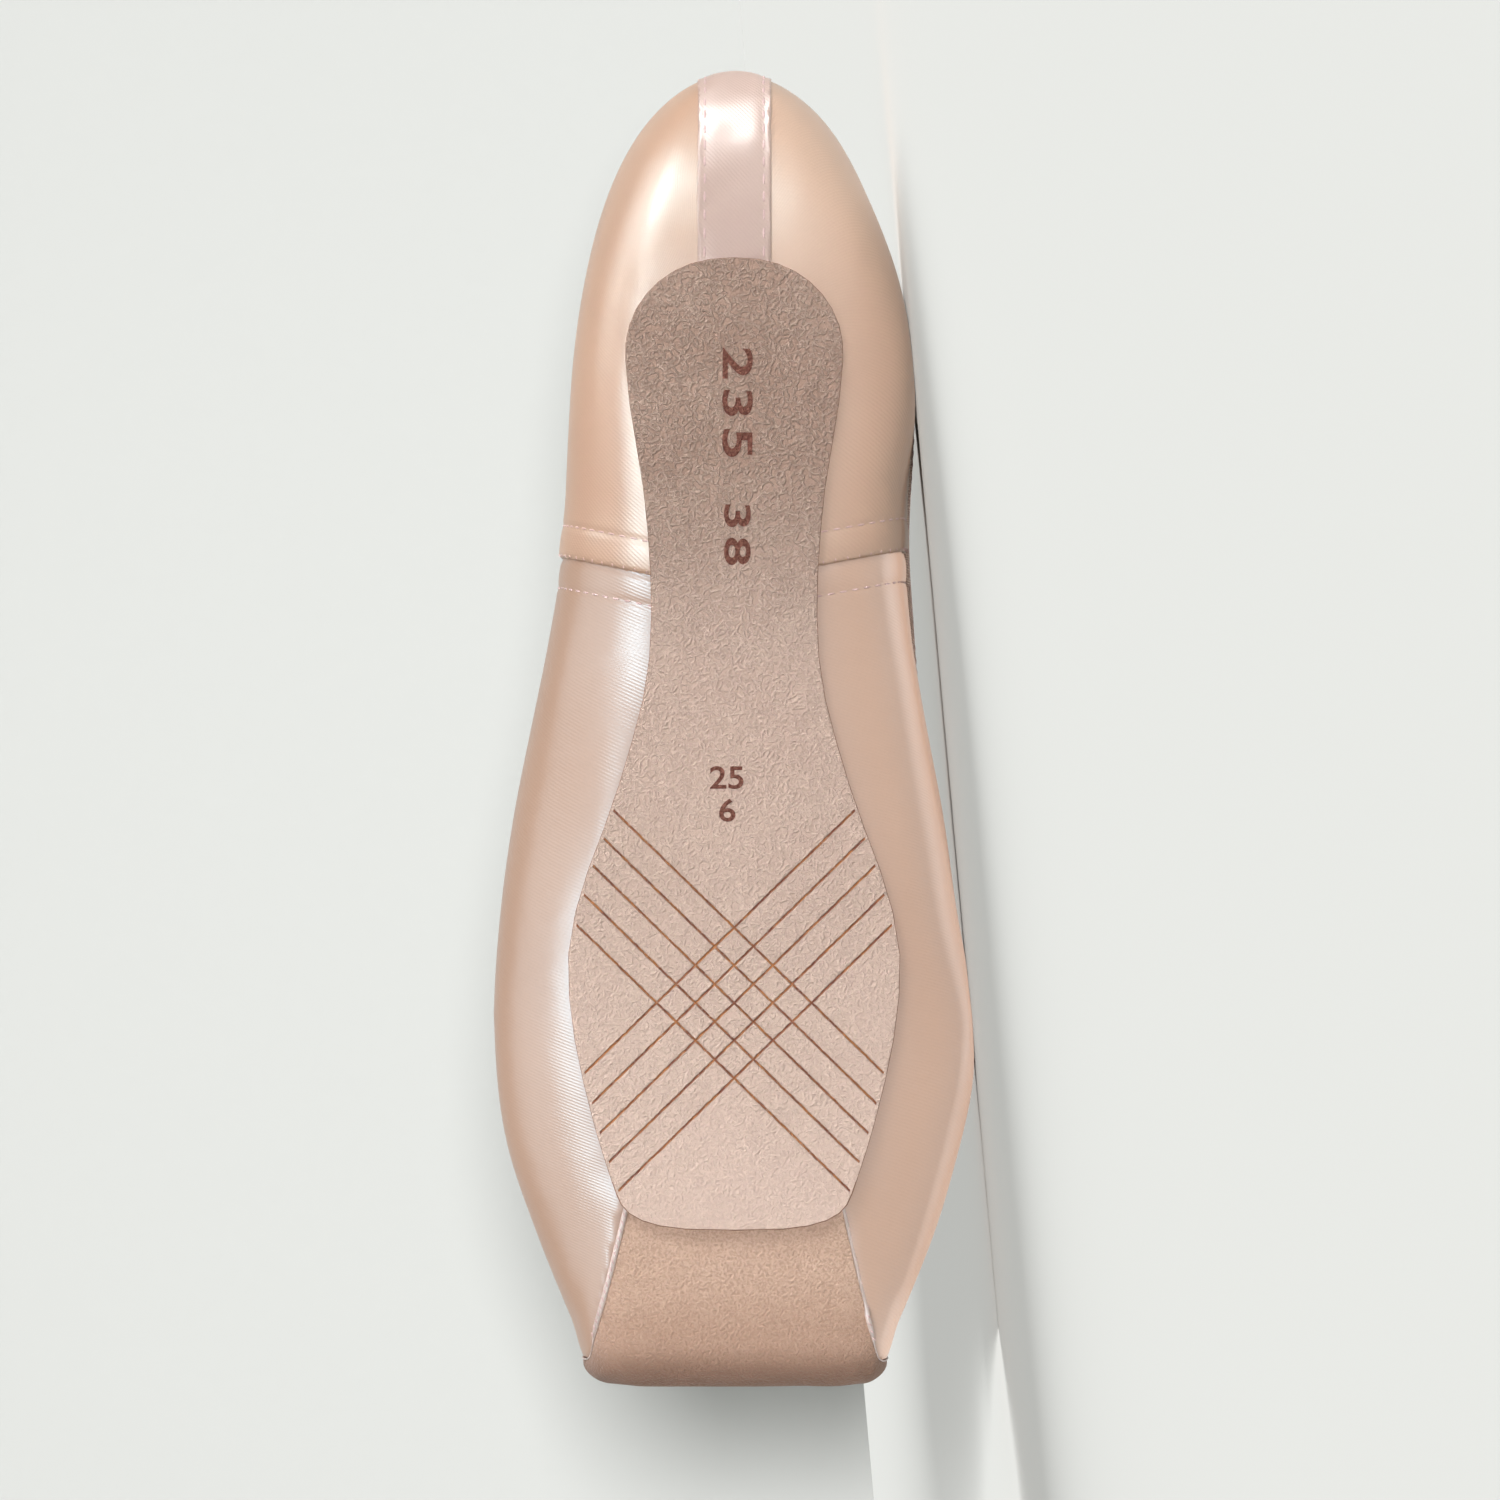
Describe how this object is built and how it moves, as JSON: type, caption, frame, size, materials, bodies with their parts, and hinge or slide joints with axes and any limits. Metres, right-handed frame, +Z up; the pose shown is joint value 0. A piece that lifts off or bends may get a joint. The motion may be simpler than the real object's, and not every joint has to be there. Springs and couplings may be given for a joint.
{
  "type": "pointe shoe",
  "caption": "Satin pointe shoe lying on its side: stiff box with a flat suede-tipped platform, narrow leather outsole, taped collar and open inside.",
  "frame": {"origin": "on the ground under the middle of the bounding box, the shoe lying on its right side", "axes": "+X along the shoe from the toe's end to the heel's end, +Y from the tread through the shoe to the collar, +Z up; the tread faces -Y"},
  "size_m": [0.2476, 0.054, 0.0892],
  "materials": {
    "satin": "peach satin with a fine twill and a soft bright sheen",
    "tape": "ribbed cotton tape and thread, matte pinkish peach",
    "sole_leather": "undyed split leather with a short fibrous nap, scored at the ball",
    "toe_suede": "tan suede, fine even nap",
    "lining": "unbleached cotton drill"
  },
  "bodies": {
    "root": {"upper": "satin", "collar_binding": "tape", "outsole": "sole_leather", "insole": "lining", "toe_patch": "toe_suede"}
  },
  "joints": []
}
